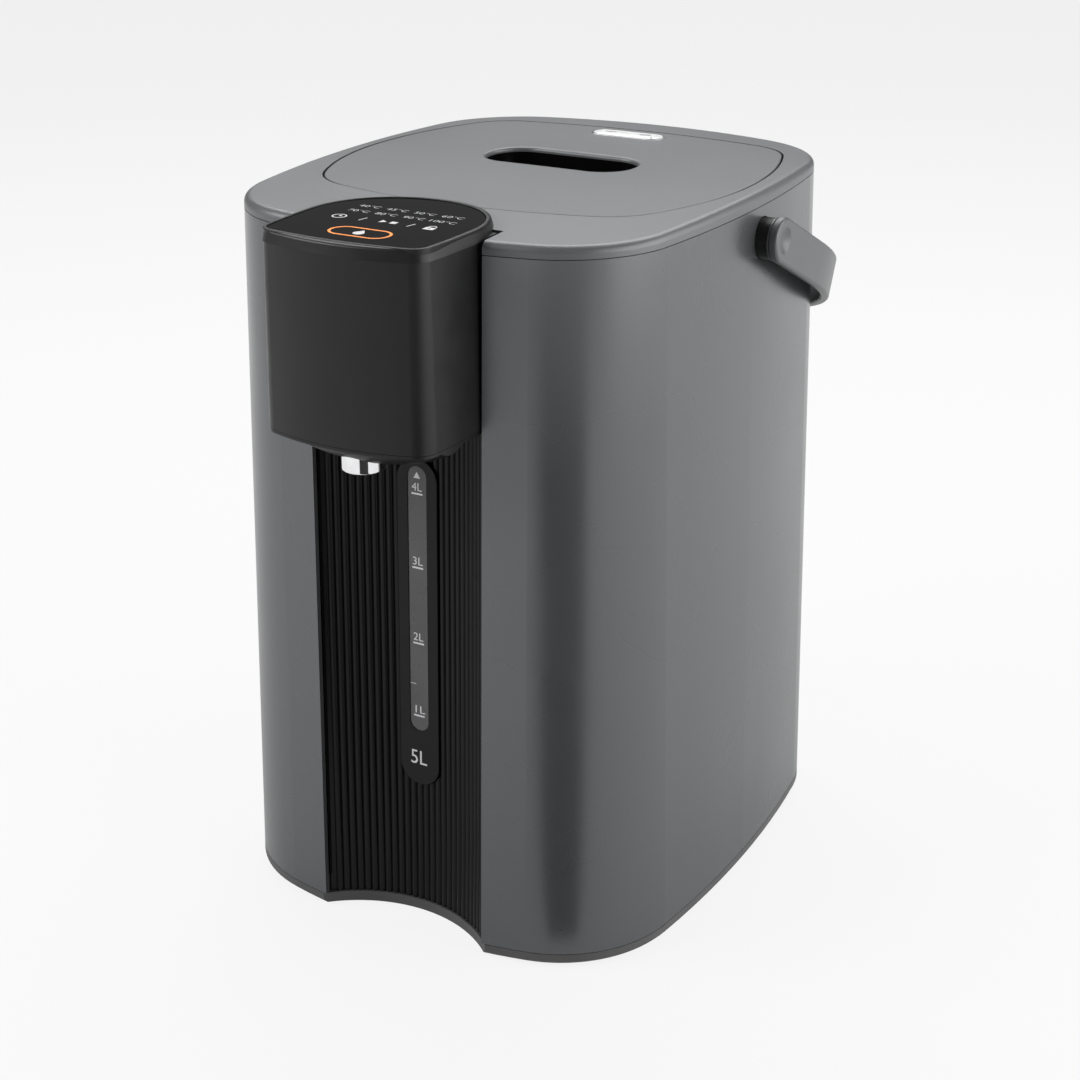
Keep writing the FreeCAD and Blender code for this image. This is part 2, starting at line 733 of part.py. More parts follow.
def make_lid_base():
    """Under-tray of the lid with the plug that enters the tank's mouth."""
    plate_high = lid_plate_low + lid_plate_thick
    inset = lid_gap_half + lid_undercut + lid_skirt_wall + 0.25
    tray = lid_prism(lid_plate_low, plate_high, -inset)
    plug = post(0, lid_centre_y, plug_radius, plug_floor, lid_plate_low + 0.5)
    tray = tray.fuse(plug)
    tray = tray.cut(post(0, lid_centre_y, plug_radius - 2.0, plug_floor + 2.0, lid_plate_low))
    tray = tray.cut(slot_prism(lid_plate_low - 4, plate_high + 4, 2.1))
    tray = tray.cut(box(-9.5, 9.5, -14, 4, lid_plate_low - 4, plate_high + 4))
    for side in (-1, 1):
        mid = side * (arm_x + arm_width / 2)
        tray = tray.cut(box(mid - 4.2, mid + 4.2, pin_y - 18.9, pin_y - 10.5,
                            lid_plate_low - 1, plate_high + 4))
        rail = box(0, 1.6, lid_front_y + 11, -20, plate_high - 0.1, bolt_top - 0.2)
        rail.translate(V(side * 9.2 - 0.8, 0, 0))
        tray = tray.fuse(rail)
        stand = box(-1.5, 1.5, paddle_axis_y - 3, paddle_axis_y + 3,
                    plug_floor + 1.9, paddle_axis_z + 1.8)
        stand.translate(V(side * 22.5, 0, 0))
        tray = tray.fuse(stand)
    tray = tray.cut(rod_x(paddle_axis_y, paddle_axis_z, 1.2, -30, 30))
    return tray.cut(post(0, vent_y - 22, 3.0, plug_floor - 4, plate_high + 4))


def make_lid_gasket():
    bore = plug_radius + 0.1
    lip = ring(0, lid_centre_y, mouth_radius - 1.3, bore, plug_floor - 0.3, plug_floor + 1.5)
    bead = ring(0, lid_centre_y, mouth_radius - 4.0, bore, plug_floor + 1.3, plug_floor + 6.5)
    return lip.fuse(bead)


def make_lid_plate():
    disc = post(0, lid_centre_y, plug_radius - 0.8, plug_floor - 0.9, plug_floor - 0.05)
    for i in range(6):
        turn = math.radians(60 * i)
        x, y = 8 * math.cos(turn), vent_y - 22 + 8 * math.sin(turn)
        hole = post(x, y, 1.5, plug_floor - 4, plug_floor + 2)
        disc = disc.cut(hole)
    return disc


def make_hinge_arms():
    """Two swan necks on one foot plate; each curls under the collar's rear lip."""
    foot_low = lid_plate_low + lid_plate_thick
    foot_high = foot_low + 2.0
    solid = box(-arm_x - arm_width, arm_x + arm_width, pin_y - 29.5, pin_y - 18.9,
                foot_low, foot_high)
    for side in (-1, 1):
        x0 = arm_x if side > 0 else -arm_x - arm_width
        bridge = box(x0, x0 + arm_width, pin_y - 19.1, pin_y - arm_inner - 0.6,
                     foot_low, foot_high)
        solid = solid.fuse(bridge).fuse(swan_neck(x0))
    bore = rod_x(pin_y, pin_z, pin_radius + running_gap, -clear_out, clear_out)
    return solid.cut(bore).removeSplitter()


def swan_neck(x0):
    curl = Part.makeCylinder(arm_outer, arm_width, V(x0, pin_y, pin_z), X_AXIS)
    curl = curl.cut(Part.makeCylinder(arm_inner, arm_width + 2, V(x0 - 1, pin_y, pin_z), X_AXIS))
    keep = box(x0 - 1, x0 + arm_width + 1, pin_y - 30, pin_y + 2.0, pin_z - 30, pin_z - 2.2)
    curl = curl.common(keep)
    spoke = box(x0, x0 + arm_width, pin_y - 2.0, pin_y + 2.0, pin_z - arm_outer + 1, pin_z)
    return curl.fuse(spoke).fuse(rod_x(pin_y, pin_z, 3.3, x0, x0 + arm_width))


def make_hinge_pin():
    return rod_x(pin_y, pin_z, pin_radius, -pocket_half + 2.5, pocket_half - 2.5)


def make_hinge_bracket():
    floor_low, inner = pin_z - arm_outer - 1.6, pocket_half - 6.1
    floor = box(-pocket_half + 1, pocket_half - 1, pin_y - 17.5, pin_y + 3.1,
                floor_low, floor_low + 1.3)
    ear = box(inner, inner + 3.2, pin_y - 5.5, pin_y + 3.3, floor_low, pin_z + 2.6)
    wing = box(inner, pocket_half + 8.5, pin_y - 13.5, pin_y + 0.5,
               tongue_low - 2.2, tongue_low - 0.1)
    solid = floor.multiFuse(mirrored_pair(ear.fuse(wing)))
    neck = post(0, lid_centre_y, mouth_radius + mouth_wall + 0.5, neck_low - 10, clear_above)
    return solid.cut(neck).cut(rod_x(pin_y, pin_z, pin_radius, -clear_out, clear_out))


def bail_path(inset):
    """Half of the handle's plan from the pivot to the middle of the grip."""
    outer_x = handle_outer_x - inset
    bend = handle_bend - inset
    knee = V(outer_x, handle_straight, 0)
    centre = V(outer_x - bend, handle_straight, 0)
    mid = centre + V(math.cos(math.pi / 4), math.sin(math.pi / 4), 0) * bend
    end = centre + V(0, bend, 0)
    return V(outer_x, 0, 0), knee, mid, end


def make_handle():
    outer, inner = bail_path(0), bail_path(handle_thick)
    start = V(0, -handle_width / 2, 0)
    edges = []
    for side in (1, -1):
        for line in (outer, inner):
            a, knee, mid, end = [V(p.x * side, p.y, p.z) for p in line]
            edges += [Part.makeLine(a + start, knee), arc(knee, mid, end)]
        edges.append(Part.makeLine(V(outer[0].x * side, start.y, 0), V(inner[0].x * side, start.y, 0)))
    for line in (outer, inner):
        edges.append(Part.makeLine(line[3], V(-line[3].x, line[3].y, 0)))
    band = Part.Face(Part.Wire(Part.__sortEdges__(edges))).extrude(V(0, 0, handle_width))
    band.translate(V(0, 0, -handle_width / 2))
    reach = 2 * (handle_outer_x + handle_straight)
    tip = rod_x(0, 0, handle_width / 2, -reach, reach)
    keep = tip.fuse(box(-reach, reach, 0, reach, -handle_width, handle_width))
    band = band.common(keep).removeSplitter()
    band = band.makeFillet(1.4, [e for e in band.Edges if e.Length > 12])
    for side in (1, -1):
        band = band.fuse(handle_boss(side))
        dish = Part.makeSphere(11.0, V(side * (handle_outer_x + 9.3), 0, 0))
        band = band.cut(dish)
        band = band.cut(pin_hole(side))
    return place_handle(band)


def handle_boss(side):
    length = handle_outer_x - handle_thick - hub_face_x - seam + 0.1
    x0 = hub_face_x + seam
    boss = rod_x(0, 0, hub_radius + 0.3, x0, x0 + length)
    stop = rod_x(0, 0, stop_pin_radius, hub_face_x - 2.2, x0 + 0.2)
    stop.translate(V(0, -stop_radius, 0))
    boss = boss.fuse(stop)
    return boss if side > 0 else boss.mirror(V(0, 0, 0), X_AXIS)


def pin_hole(side):
    hole = rod_x(0, 0, handle_pin_radius + running_gap, hub_face_x - 1, handle_outer_x - 2.4)
    return hole if side > 0 else hole.mirror(V(0, 0, 0), X_AXIS)


def place_handle(shape):
    shape.rotate(V(0, 0, 0), X_AXIS, -handle_droop)
    shape.translate(V(0, pivot_y, pivot_z))
    return shape


def sector_x(r, x0, x1, a0, a1):
    """Slice of a disc along X; the angles run from +Y towards +Z."""
    spots = [V(x0, r * math.cos(math.radians(a)), r * math.sin(math.radians(a)))
             for a in (a0, (a0 + a1) / 2, a1)]
    hub = V(x0, 0, 0)
    wire = Part.Wire([Part.makeLine(hub, spots[0]), arc(*spots), Part.makeLine(spots[2], hub)])
    return Part.Face(wire).extrude(V(x1 - x0, 0, 0))


def make_handle_hubs():
    body = rod_x(0, 0, hub_radius, hub_flange_x - 0.8, hub_face_x)
    body = body.fuse(rod_x(0, 0, hub_radius + 2.6, hub_flange_x - 2.8, hub_flange_x))
    rest_turn = 180 - handle_droop
    outer_reach = stop_radius + stop_pin_radius + 0.25
    inner_reach = stop_radius - stop_pin_radius - 0.25
    groove = sector_x(outer_reach, hub_face_x - 2.6, hub_face_x + 1, rest_turn - stop_half_turn,
                      rest_turn + handle_sweep + stop_half_turn)
    groove = groove.cut(rod_x(0, 0, inner_reach, hub_face_x - 4, hub_face_x + 4))
    body = body.cut(groove).cut(rod_x(0, 0, handle_pin_radius, 0, clear_out))
    body.translate(V(0, pivot_y, pivot_z))
    return mirrored_pair(body)


def make_handle_pins():
    start = hub_flange_x - 4.8
    pin = rod_x(pivot_y, pivot_z, handle_pin_radius, start, handle_outer_x - 2.7)
    pin = pin.fuse(rod_x(pivot_y, pivot_z, handle_pin_radius + 2.5, start, start + 1.9))
    return mirrored_pair(pin)


def make_tank():
    """Drawn steel tank: rounded bottom, rolled shoulder and a flat rim round the mouth."""
    r_out, wall, low, high = tank_inner + tank_wall, tank_wall, tank_low, tank_high
    bend_low, bend_high = 8.0, 10.0

    def elbow(cx, cz, r, a0, a1):
        points = [V(cx + r * math.cos(math.radians(a)), 0, cz + r * math.sin(math.radians(a)))
                  for a in (a0, (a0 + a1) / 2, a1)]
        return points

    low_out = elbow(r_out - bend_low, low + bend_low, bend_low, -90, 0)
    high_out = elbow(r_out - bend_high, high - bend_high, bend_high, 0, 90)
    high_in = elbow(r_out - bend_high, high - bend_high, bend_high - wall, 90, 0)
    low_in = elbow(r_out - bend_low, low + bend_low, bend_low - wall, 0, -90)
    stops = [[V(0, 0, low)], low_out, high_out, [V(tank_mouth, 0, high)],
             [V(tank_mouth, 0, high - wall)], high_in, low_in, [V(0, 0, low + wall)]]
    edges = []
    for i, here in enumerate(stops):
        after = stops[(i + 1) % len(stops)]
        if len(here) == 3:
            edges.append(arc(*here))
        edges.append(Part.makeLine(here[-1], after[0]))
    profile = Part.Face(Part.Wire(edges))
    tank = profile.revolve(V(0, 0, 0), Z_AXIS, 360)
    tank.translate(V(0, tank_centre_y, 0))
    tank = tank.fuse(post(outlet_x, outlet_y, 6.0, low - 9.0, low + 0.2))
    return tank.cut(post(outlet_x, outlet_y, 5.4, low - 14.0, low + 2))


def make_strainer():
    dish = post(outlet_x, outlet_y, 13.0, tank_low + tank_wall, tank_low + tank_wall + 4.0)
    dish = dish.cut(post(outlet_x, outlet_y, 12.0, tank_low, tank_low + tank_wall + 3.0))
    for i in range(8):
        turn = math.radians(45 * i)
        x, y = outlet_x + 8 * math.cos(turn), outlet_y + 8 * math.sin(turn)
        dish = dish.cut(post(x, y, 1.6, tank_low, tank_low + 9))
    return dish


def make_mouth_seal():
    return ring(0, tank_centre_y, mouth_radius + 1.9, mouth_radius - 1.6, tank_high, neck_low - 0.1)


def make_insulation():
    return ring(0, tank_centre_y, tank_inner + 3.0, tank_inner + 1.2,
                tank_low + 8.0, tank_high - 13.5)


def make_heater():
    low = tank_low - 4.2
    plate = ring(0, tank_centre_y, 46.0, 20.0, low, tank_low)
    terminals = [box(x - 2, x + 2, tank_centre_y + 44, tank_centre_y + 54, low + 0.6, low + 1.8)
                 for x in (-12, 12)]
    return plate.multiFuse(terminals)


def make_thermostats():
    cans = []
    for x, y in ((60.0, -8.0), (56.0, 34.0)):
        ears = box(x - 9, x + 9, y - 2, y + 2, tank_low - 9.5, tank_low - 6.8)
        can = post(x, y, 8.0, tank_low - 7.0, tank_low).fuse(ears)
        cans.append(can)
    return cans


def make_tank_posts():
    posts = []
    for turn in (30, 150, 270):
        x = 84 * math.cos(math.radians(turn))
        y = tank_centre_y + 84 * math.sin(math.radians(turn))
        foot = post(x, y, 8.0, base_lip, base_lip + 2.5)
        posts.append(foot.fuse(post(x, y, 5.0, base_lip, tank_low)))
    return posts


def make_pump_housing():
    floor = spout_z - 7.2
    body = post(outlet_x, outlet_y, 19.0, floor, floor + 15.2)
    body = body.fuse(post(outlet_x, outlet_y, 6.0, floor + 14.2, pump_top))
    forward = V(0, -1, 0)
    spout = Part.makeCylinder(3.3, 33, V(outlet_x, outlet_y, spout_z), forward)
    body = body.fuse(spout.cut(post(outlet_x, outlet_y, 17, floor - 4, floor + 16)))
    body = body.cut(post(outlet_x, outlet_y, 16.2, floor + 1.8, floor + 13.4))
    body = body.cut(post(outlet_x, outlet_y, 4.6, floor + 10, pump_top + 1))
    body = body.cut(Part.makeCylinder(2.4, 40, V(outlet_x, outlet_y, spout_z), forward))
    return body.cut(post(outlet_x, outlet_y, 1.9, floor - 2, floor + 4))


def make_impeller():
    low = spout_z - 4.6
    disc = post(outlet_x, outlet_y, 14.6, low, low + 1.8)
    solid = disc.fuse(post(outlet_x, outlet_y, 4.0, low, low + 8.6))
    solid = solid.fuse(post(outlet_x, outlet_y, 1.5, low - 13.4, low + 1.6))
    for i in range(6):
        blade = box(3.0, 14.4, -0.6, 0.6, low + 1.6, low + 9.1)
        blade.rotate(V(3.0, 0, 0), Z_AXIS, -28)
        blade.rotate(V(0, 0, 0), Z_AXIS, 60 * i)
        blade.translate(V(outlet_x, outlet_y, 0))
        solid = solid.fuse(blade)
    return solid.common(post(outlet_x, outlet_y, 14.6, low - 14, low + 9.6))


def make_motor():
    high = spout_z - 7.4
    can = post(outlet_x, outlet_y, motor_radius, base_lip + 0.2, high)
    return can.cut(post(outlet_x, outlet_y, 1.5 + running_gap, high - 11.0, high + 1))


def make_inlet_hose():
    return ring(outlet_x, outlet_y, 8.0, 6.05, pump_top - 6.0, tank_low - 2.0)


def make_power_board():
    board = rounded_prism(38, 27, 2, 22, 52, board_low, board_low + 1.6)
    top = board_low + 1.5
    parts = [box(-10, 8, 34, 50, top, top + 17), box(14, 30, 32, 46, top, top + 12),
             post(42, 66, 7.0, top, top + 18), post(24, 66, 5.0, top, top + 14),
             box(38, 56, 34, 44, top, top + 9), box(-10, 2, 60, 74, top, top + 10)]
    return board.multiFuse(parts)


def make_inlet():
    """Mains socket in the back of the shell: a recessed well round two pins."""
    back = inlet_face()
    well = rounded_block_y(inlet_half, inlet_low, inlet_high, back - 20, back)
    flange = rounded_block_y(inlet_half + 4, inlet_low - 4, inlet_high + 4, back - 7.2, back - 4.2)
    solid = well.fuse(flange)
    solid = solid.cut(rounded_block_y(inlet_half - 2.4, inlet_low + 2.4, inlet_high - 2.4,
                                      back - 16, back + 2, 1.5))
    for x in inlet_pin_places:
        solid = solid.cut(Part.makeCylinder(2.0, 30, V(x, back - 25, inlet_middle), Y_AXIS))
    return solid


def inlet_face():
    return half_depth + spread(inlet_middle) - 0.4


def make_inlet_pins():
    back = inlet_face()
    pins = []
    for x in inlet_pin_places:
        pin = Part.makeCylinder(2.0, 16, V(x, back - 20.0, inlet_middle), Y_AXIS)
        pins.append(pin.makeFillet(1.0, [e for e in pin.Edges if e.CenterOfMass.y > back - 5]))
    return pins


def build_all():
    top_block = make_top_block()
    return {
        "outer_shell": make_outer_shell(),
        "top_collar": make_top_collar(top_block),
        "base_housing": make_base_housing(),
        "bottom_cover": make_bottom_cover(),
        "rubber_feet": make_feet(),
        "cover_screws": make_cover_screws(),
        "front_panel": make_front_panel(),
        "gauge_plate": make_gauge_plate(),
        "gauge_window": make_gauge_window(),
        "sight_tube": make_sight_tube(),
        "dispenser_head": make_dispenser_head(),
        "head_bottom_cover": make_head_bottom_cover(),
        "control_glass": make_control_glass(),
        "glass_trim_ring": make_trim_ring(),
        "control_board": make_control_board(),
        "nozzle": make_nozzle(),
        "nozzle_tube": make_nozzle_tube(),
        "head_hose": make_head_hose(),
        "outlet_hose": make_outlet_hose(),
        "inlet_hose": make_inlet_hose(),
        "lid_cover": make_lid_cover(top_block),
        "lid_base": make_lid_base(),
        "lid_plate": make_lid_plate(),
        "lid_gasket": make_lid_gasket(),
        "slot_liner": make_slot_liner(),
        "steam_vent_trim": make_vent_trim(),
        "release_paddle": make_paddle(),
        "paddle_pin": make_paddle_pin(),
        "latch_bolt": make_bolt(),
        "paddle_spring": make_paddle_spring(),
        "lid_hinge_arms": make_hinge_arms(),
        "hinge_pin": make_hinge_pin(),
        "hinge_bracket": make_hinge_bracket(),
        "carry_handle": make_handle(),
        "handle_hubs": make_handle_hubs(),
        "handle_pins": make_handle_pins(),
        "inner_tank": make_tank(),
        "outlet_strainer": make_strainer(),
        "tank_mouth_seal": make_mouth_seal(),
        "insulation_jacket": make_insulation(),
        "heater_plate": make_heater(),
        "thermostats": make_thermostats(),
        "tank_posts": make_tank_posts(),
        "pump_housing": make_pump_housing(),
        "pump_impeller": make_impeller(),
        "pump_motor": make_motor(),
        "power_board": make_power_board(),
        "power_inlet": make_inlet(),
        "inlet_pins": make_inlet_pins(),
    }


def export(name, shape, shift):
    solids = shape if isinstance(shape, list) else [shape]
    merged = Part.makeCompound([s.copy() for s in solids]) if len(solids) > 1 else solids[0].copy()
    merged.translate(shift)
    merged.exportStep("parts/" + name + ".step")


def main():
    os.makedirs("parts", exist_ok=True)
    shapes = build_all()
    flat = []
    for shape in shapes.values():
        flat += shape if isinstance(shape, list) else [shape]
    bounds = Part.makeCompound(flat).optimalBoundingBox(False, False)
    shift = V(0, -(bounds.YMin + bounds.YMax) / 2, foot_proud)
    for name, shape in shapes.items():
        export(name, shape, shift)
    print("shift", shift)
    print("size", bounds.XLength, bounds.YLength, bounds.ZLength)


main()
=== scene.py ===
import json
import math

import bpy
from mathutils import Matrix, Vector


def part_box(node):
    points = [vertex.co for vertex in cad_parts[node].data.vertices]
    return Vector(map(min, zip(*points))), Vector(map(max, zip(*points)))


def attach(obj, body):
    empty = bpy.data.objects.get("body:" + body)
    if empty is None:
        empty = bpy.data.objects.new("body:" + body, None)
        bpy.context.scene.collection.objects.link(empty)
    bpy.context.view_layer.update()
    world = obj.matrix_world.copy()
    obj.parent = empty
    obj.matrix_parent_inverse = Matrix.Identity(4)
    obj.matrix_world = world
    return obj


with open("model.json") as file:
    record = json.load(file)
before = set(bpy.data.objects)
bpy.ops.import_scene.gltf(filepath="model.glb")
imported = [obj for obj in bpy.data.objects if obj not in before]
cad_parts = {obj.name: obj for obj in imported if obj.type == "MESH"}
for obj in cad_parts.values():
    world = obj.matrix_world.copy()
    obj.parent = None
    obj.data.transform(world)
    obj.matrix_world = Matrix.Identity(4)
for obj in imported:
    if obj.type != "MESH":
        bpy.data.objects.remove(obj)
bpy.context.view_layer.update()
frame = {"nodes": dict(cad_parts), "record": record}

MM = 0.001

# Places below are measured from the middle of the body in plan and from the base's lower edge
BODY_TO_ROW = Vector((0, (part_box("rubber_feet")[0].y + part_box("rubber_feet")[1].y) / 2 / MM,
                      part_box("base_housing")[0].z / MM))
GLASS_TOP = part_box("control_glass")[1].z / MM - BODY_TO_ROW.z
DRAFT_SPREAD = 7.7
BODY_HEIGHT = 320.0
GAUGE_LEAN = DRAFT_SPREAD / BODY_HEIGHT
GAUGE_PLANE_Y = -111.4

# Printed marks in millimetres: how far each stands out of its face, and how thick it is.
# The window's face lies a little behind the gauge's plane.
GLASS_PROUD = 0.02
PLATE_PROUD = 0.02
WINDOW_PROUD = -0.33
PRINT_THICK = 0.02

# Height of a capital letter as a share of the font's size
CAP_SHARE = 0.72

HOUSING = "housing"

# The plain backdrop: its light on the object, and how much of its white a reflection shows
ROOM_LIGHT = 0.09
REFLECTED_SKY = 0.06
REFLECTED_FLOOR_NEAR = (0.14, 0.3)
REFLECTED_FLOOR_FAR = (0.75, 1.0)

# The floor: how much of its white the camera sees, and its size and place in metres
FLOOR_SEEN = 0.86
FLOOR_COLOUR = (0.55, 0.55, 0.55)
FLOOR_HALF = 6.0
FLOOR_DROP = 0.0002

CAMERA_PLACE = (422.954, -764.014, 505.744)
CAMERA_RIGHT = (0.87491, 0.48428, 0.0)
CAMERA_UP = (-0.18603, 0.33608, 0.92328)
CAMERA_BACK = (0.44713, -0.80779, 0.38413)
CAMERA_LENS = 66.6
CAMERA_SENSOR = 36.0

# Black card: a fan from the body's right front corner, in metres, with angles from the front
FLAG_CORNER = (0.076, -0.107, 0.0004)
FLAG_ANGLES = (6, 51)
FLAG_NEAR = 0.03
FLAG_FAR = 1.2

# Values of a noise at which its darkest and its lightest spots begin
NOISE_LOW = 0.3
NOISE_HIGH = 0.7

# Lean of the graphite finish to blue
COOL = -0.03


def place(x, y, z):
    """Point in the row frame, in metres, from millimetres in the body's own frame."""
    return (Vector((x, y, z)) + BODY_TO_ROW) * MM


# Materials

class Surface:
    """Principled material whose colour, roughness and bump come from noise in object space."""

    def __init__(self, name, **sockets):
        self.material = bpy.data.materials.new(name)
        self.material.use_nodes = True
        self.nodes = self.material.node_tree.nodes
        self.links = self.material.node_tree.links
        self.shader = self.nodes["Principled BSDF"]
        for socket, value in sockets.items():
            self.shader.inputs[socket.replace("_", " ")].default_value = value
        self.place = self.nodes.new("ShaderNodeTexCoord").outputs["Object"]

    def node(self, kind, **values):
        made = self.nodes.new(kind)
        for socket, value in values.items():
            made.inputs[socket].default_value = value
        return made

    def noise(self, size_mm, detail=2.0, roughness=0.5, stretch=(1, 1, 1)):
        """Noise whose spots are about size_mm across; stretch squeezes it along an axis."""
        mapping = self.node("ShaderNodeMapping", Scale=stretch)
        self.links.new(self.place, mapping.inputs["Vector"])
        noise = self.node("ShaderNodeTexNoise", Scale=1.0 / (size_mm * MM), Detail=detail,
                          Roughness=roughness)
        self.links.new(mapping.outputs["Vector"], noise.inputs["Vector"])
        return noise.outputs["Fac"]

    def colour(self, dark, light, source):
        ramp = self.node("ShaderNodeValToRGB")
        ramp.color_ramp.elements[0].position = NOISE_LOW
        ramp.color_ramp.elements[1].position = NOISE_HIGH
        ramp.color_ramp.elements[0].color = (*dark, 1)
        ramp.color_ramp.elements[1].color = (*light, 1)
        self.links.new(source, ramp.inputs["Fac"])
        self.links.new(ramp.outputs["Color"], self.shader.inputs["Base Color"])

    def gloss(self, low, high, source):
        span = self.node("ShaderNodeMapRange")
        span.inputs["From Min"].default_value = NOISE_LOW
        span.inputs["From Max"].default_value = NOISE_HIGH
        span.inputs["To Min"].default_value = low
        span.inputs["To Max"].default_value = high
        self.links.new(source, span.inputs["Value"])
        self.links.new(span.outputs["Result"], self.shader.inputs["Roughness"])

    def bump(self, depth_mm, source, strength):
        bump = self.node("ShaderNodeBump", Strength=strength, Distance=depth_mm * MM)
        self.links.new(source, bump.inputs["Height"])
        self.links.new(bump.outputs["Normal"], self.shader.inputs["Normal"])


def shade(value, warm=0.0):
    """Grey of a given value; a negative warm leans it to blue."""
    return (value * (1 + warm), value, value * (1 - warm))


def painted(name, value, metallic, rough, grain_mm, grain_depth):
    """Satin graphite finish with fine pearl flecks and a faint orange peel."""
    surface = Surface(name, Metallic=metallic, Specular_IOR_Level=0.5)
    fleck = surface.noise(grain_mm, 3.0)
    cloud = surface.noise(60.0, 2.0)
    surface.colour(shade(value * 0.92, COOL), shade(value * 1.08, COOL), fleck)
    surface.gloss(rough - 0.03, rough + 0.03, cloud)
    surface.bump(grain_depth, fleck, 0.6)
    return surface.material


def moulded(name, value, rough, grain_mm, grain_depth, warm=0.0, **sockets):
    """Moulded plastic with an eroded grain."""
    surface = Surface(name, **sockets)
    grain = surface.noise(grain_mm, 4.0, 0.6)
    surface.colour(shade(value * 0.9, warm), shade(value * 1.1, warm), surface.noise(18.0, 3.0))
    surface.gloss(rough - 0.04, rough + 0.04, surface.noise(9.0, 3.0))
    surface.bump(grain_depth, grain, 0.7)
    return surface.material


def metal(name, colour, low, high, stretch, polish_mm=0.6):
    """Bare metal with drawn or turned lines."""
    surface = Surface(name, Metallic=1.0)
    lines = surface.noise(polish_mm, 4.0, 0.6, stretch)
    dark = tuple(c * 0.9 for c in colour)
    surface.colour(dark, colour, lines)
    surface.gloss(low, high, lines)
    surface.bump(0.01, lines, 0.3)
    return surface.material


def soft(name, value, rough, warm, **sockets):
    """Rubber or silicone with a dull, slightly uneven skin."""
    surface = Surface(name, **sockets)
    surface.colour(shade(value * 0.92, warm), shade(value * 1.05, warm), surface.noise(6.0))
    surface.gloss(rough - 0.05, rough + 0.05, surface.noise(3.0))
    surface.bump(0.02, surface.noise(0.5, 3.0), 0.5)
    return surface.material


def felt(name):
    """Pale fibre mat with a soft sheen."""
    surface = Surface(name, Sheen_Weight=0.4, Sheen_Roughness=0.6)
    fibres = surface.noise(0.8, 6.0, 0.7)
    surface.colour((0.62, 0.61, 0.58), (0.82, 0.81, 0.78), fibres)
    surface.gloss(0.85, 0.98, fibres)
    surface.bump(0.3, fibres, 0.8)
    return surface.material


def printed_board(name):
    """Green lacquer over copper tracks."""
    surface = Surface(name)
    tracks = surface.noise(1.6, 1.0, 0.4, (1, 3, 1))
    surface.colour((0.008, 0.05, 0.025), (0.02, 0.11, 0.05), tracks)
    surface.gloss(0.25, 0.45, tracks)
    surface.bump(0.05, tracks, 0.5)
    return surface.material


def ink(name, colour, glow=0.0):
    """Printed colour that may glow a little, as if lit from behind."""
    surface = Surface(name, Emission_Strength=glow)
    surface.shader.inputs["Emission Color"].default_value = (*colour, 1)
    dark = tuple(c * 0.93 for c in colour)
    surface.colour(dark, colour, surface.noise(0.4))
    surface.gloss(0.35, 0.5, surface.noise(0.8))
    return surface.material


def make_finishes():
    steel, bronze = (0.62, 0.62, 0.63), (0.72, 0.52, 0.25)
    return {
        "shell_paint": painted("Shell_Paint", 0.135, 0.6, 0.28, 0.3, 0.012),
        "trim_plastic": painted("Trim_Satin", 0.14, 0.35, 0.42, 0.3, 0.012),
        "lid_plastic": painted("Lid_Satin", 0.13, 0.35, 0.44, 0.3, 0.015),
        "panel_black": moulded("Panel_Black", 0.004, 0.36, 0.4, 0.006, Specular_IOR_Level=0.22),
        "black_plastic": moulded("Head_Black", 0.009, 0.38, 0.3, 0.012, Specular_IOR_Level=0.32),
        "glass_black": moulded("Black_Glass", 0.003, 0.07, 1.2, 0.001, IOR=1.25),
        "clear_lens": moulded("Smoky_Lens", 0.1, 0.3, 0.3, 0.004, Transmission_Weight=0.2),
        "chrome": metal("Chrome", (0.86, 0.86, 0.87), 0.05, 0.1, (1, 1, 1), 4.0),
        # Glossy black of the lid's slot and paddle; its colour is darker than the head's black as
        # painted shade in the slot
        "gloss_black_shaded": moulded("Gloss_Black_Shaded", 0.003, 0.16, 0.8, 0.003, IOR=1.3),
        # Same satin as the trim, made darker as painted shade on the handle
        "handle_satin_shaded": painted("Handle_Satin_Shaded", 0.115, 0.35, 0.42, 0.3, 0.012),
        "bright_trim": metal("Bright_Trim", (0.9, 0.9, 0.9), 0.3, 0.42, (1, 6, 1)),
        "steel": metal("Drawn_Steel", steel, 0.24, 0.36, (1, 1, 14)),
        "silicone": soft("Silicone", 0.62, 0.45, 0.02, Subsurface_Weight=0.2,
                         Transmission_Weight=0.15),
        "rubber_dark": soft("Rubber", 0.02, 0.7, 0.0),
        "grey_plastic": moulded("Grey_Plastic", 0.085, 0.48, 0.35, 0.02),
        "white_plastic": moulded("White_Plastic", 0.68, 0.42, 0.4, 0.015, 0.015),
        "foam": felt("Insulation_Felt"),
        "board": printed_board("Board"),
        "brass": metal("Plated_Brass", bronze, 0.18, 0.3, (1, 8, 1)),
        "aluminium": metal("Cast_Aluminium", (0.72, 0.72, 0.73), 0.4, 0.55, (1, 1, 1), 1.0),
    }


# Nodes that look unlike the rest of their material; the handle's finish is the trim's satin made
# darker as painted shade, and the slot's black is made darker as painted shade too
OWN_FINISH = {"slot_liner": "gloss_black_shaded", "release_paddle": "gloss_black_shaded",
              "steam_vent_trim": "bright_trim", "carry_handle": "handle_satin_shaded"}


def finish_nodes(finishes):
    for part in frame["record"]["subparts"]:
        mesh = frame["nodes"][part["node"]].data
        mesh.materials.clear()
        finish = OWN_FINISH.get(part["node"], part["material_slot"])
        mesh.materials.append(finishes[finish])


# Printed marks

def new_print(name, curve, material):
    """Object of a thin raised mark, not yet in its place."""
    curve.extrude = PRINT_THICK * MM / 2
    curve.materials.append(material)
    obj = bpy.data.objects.new(name, curve)
    bpy.context.scene.collection.objects.link(obj)
    return obj


def put_print(obj, matrix):
    obj.matrix_world = matrix
    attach(obj, HOUSING)


